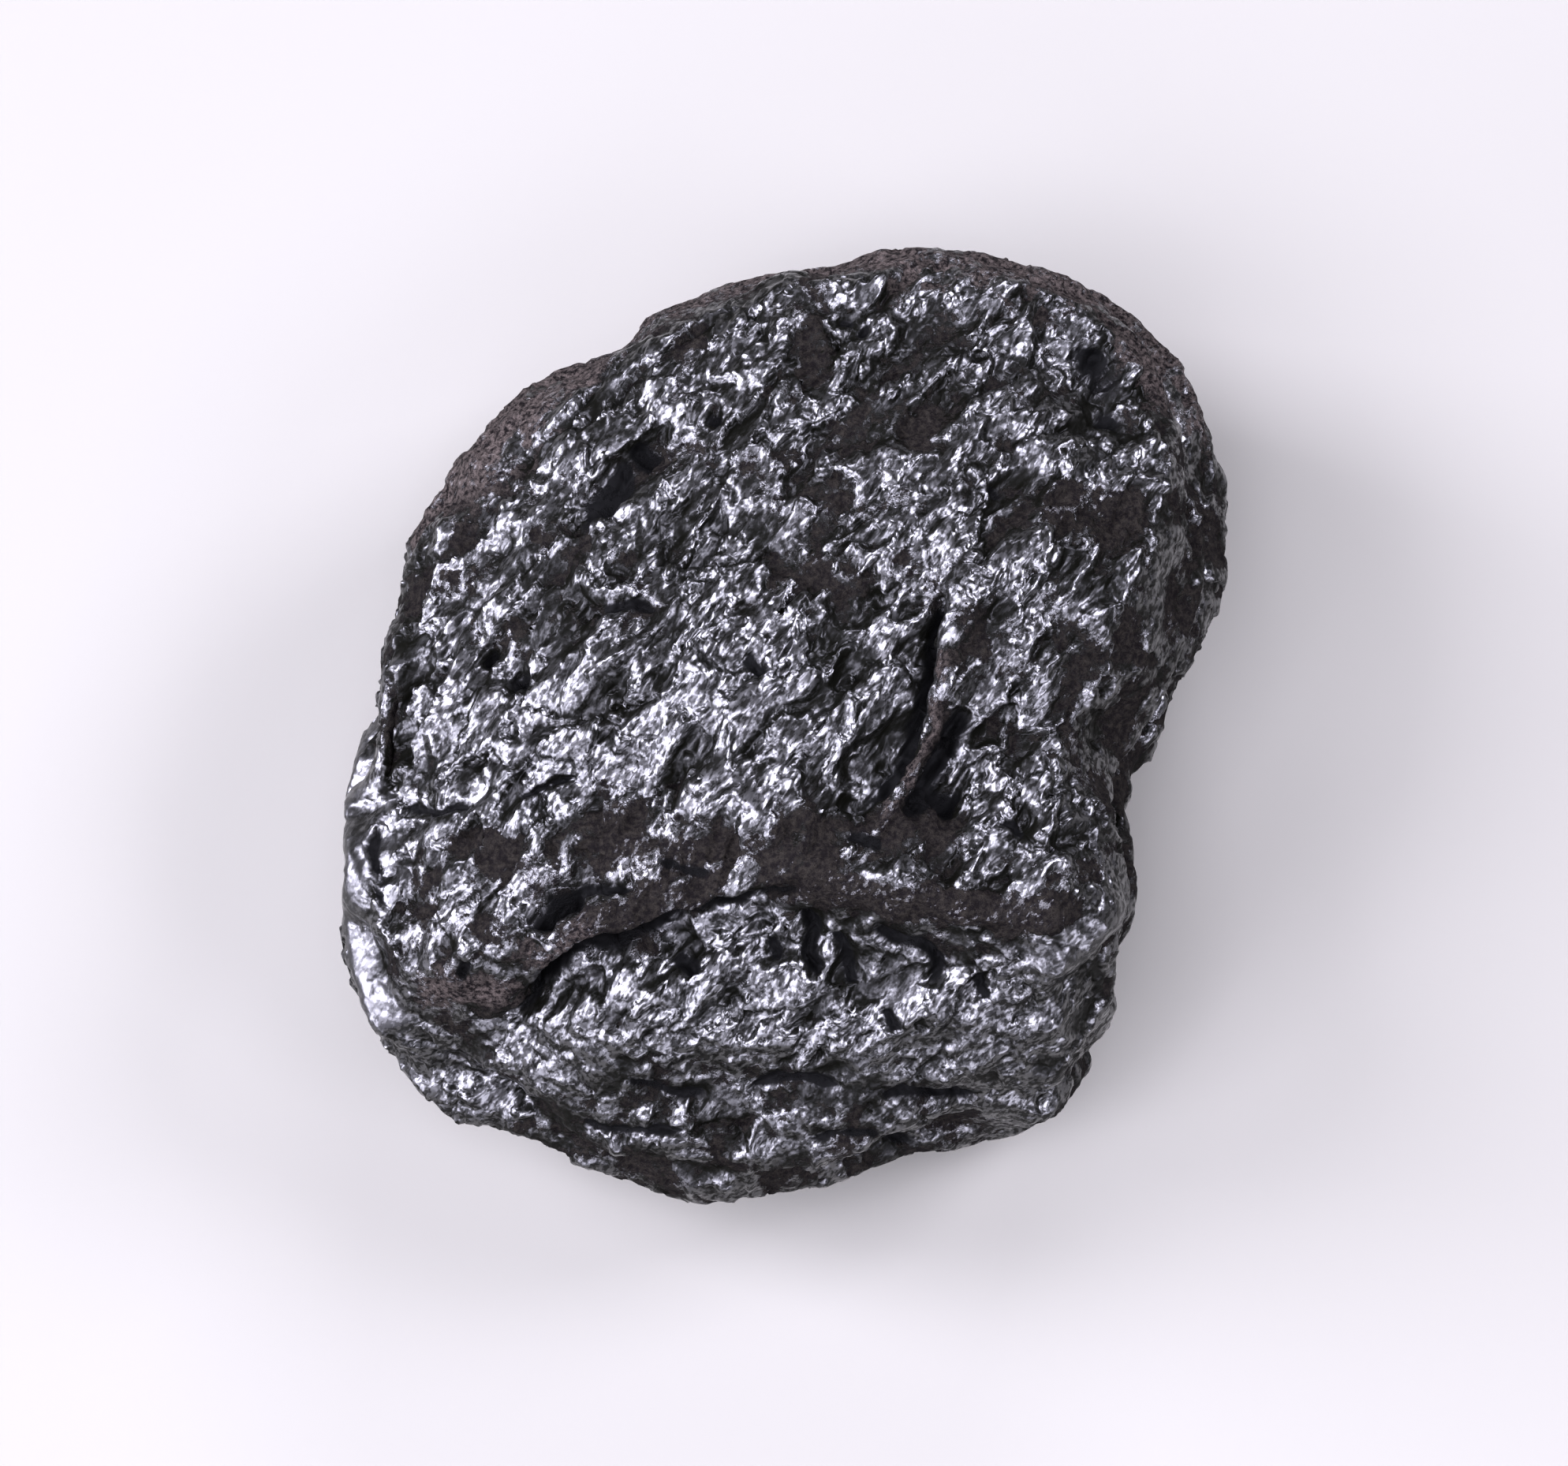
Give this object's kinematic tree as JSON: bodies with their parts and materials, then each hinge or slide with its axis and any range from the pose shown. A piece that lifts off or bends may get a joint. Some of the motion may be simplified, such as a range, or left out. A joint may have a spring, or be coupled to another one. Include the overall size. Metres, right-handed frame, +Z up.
{
  "type": "shilajit lump",
  "caption": "Walnut-size lump of dried black shilajit resin: a squat, flat-topped cushion with a creased lip, wrinkled glossy skin and a flat resting side.",
  "frame": {"origin": "middle of the lump's bounding box, at the flat side it rests on", "axes": "+Z up from the resting side, +Y towards the back of the lump along its longest extent, +X to the right as seen from the front"},
  "size_m": [0.0363, 0.0388, 0.0196],
  "materials": {
    "dried_resin": "dried brown-black natural resin: glossy wrinkled skin with cool highlights, dull brown-grey dust along the lip, the rim and in the hollows"
  },
  "bodies": {
    "root": {"shilajit_lump": "dried_resin"}
  },
  "joints": []
}
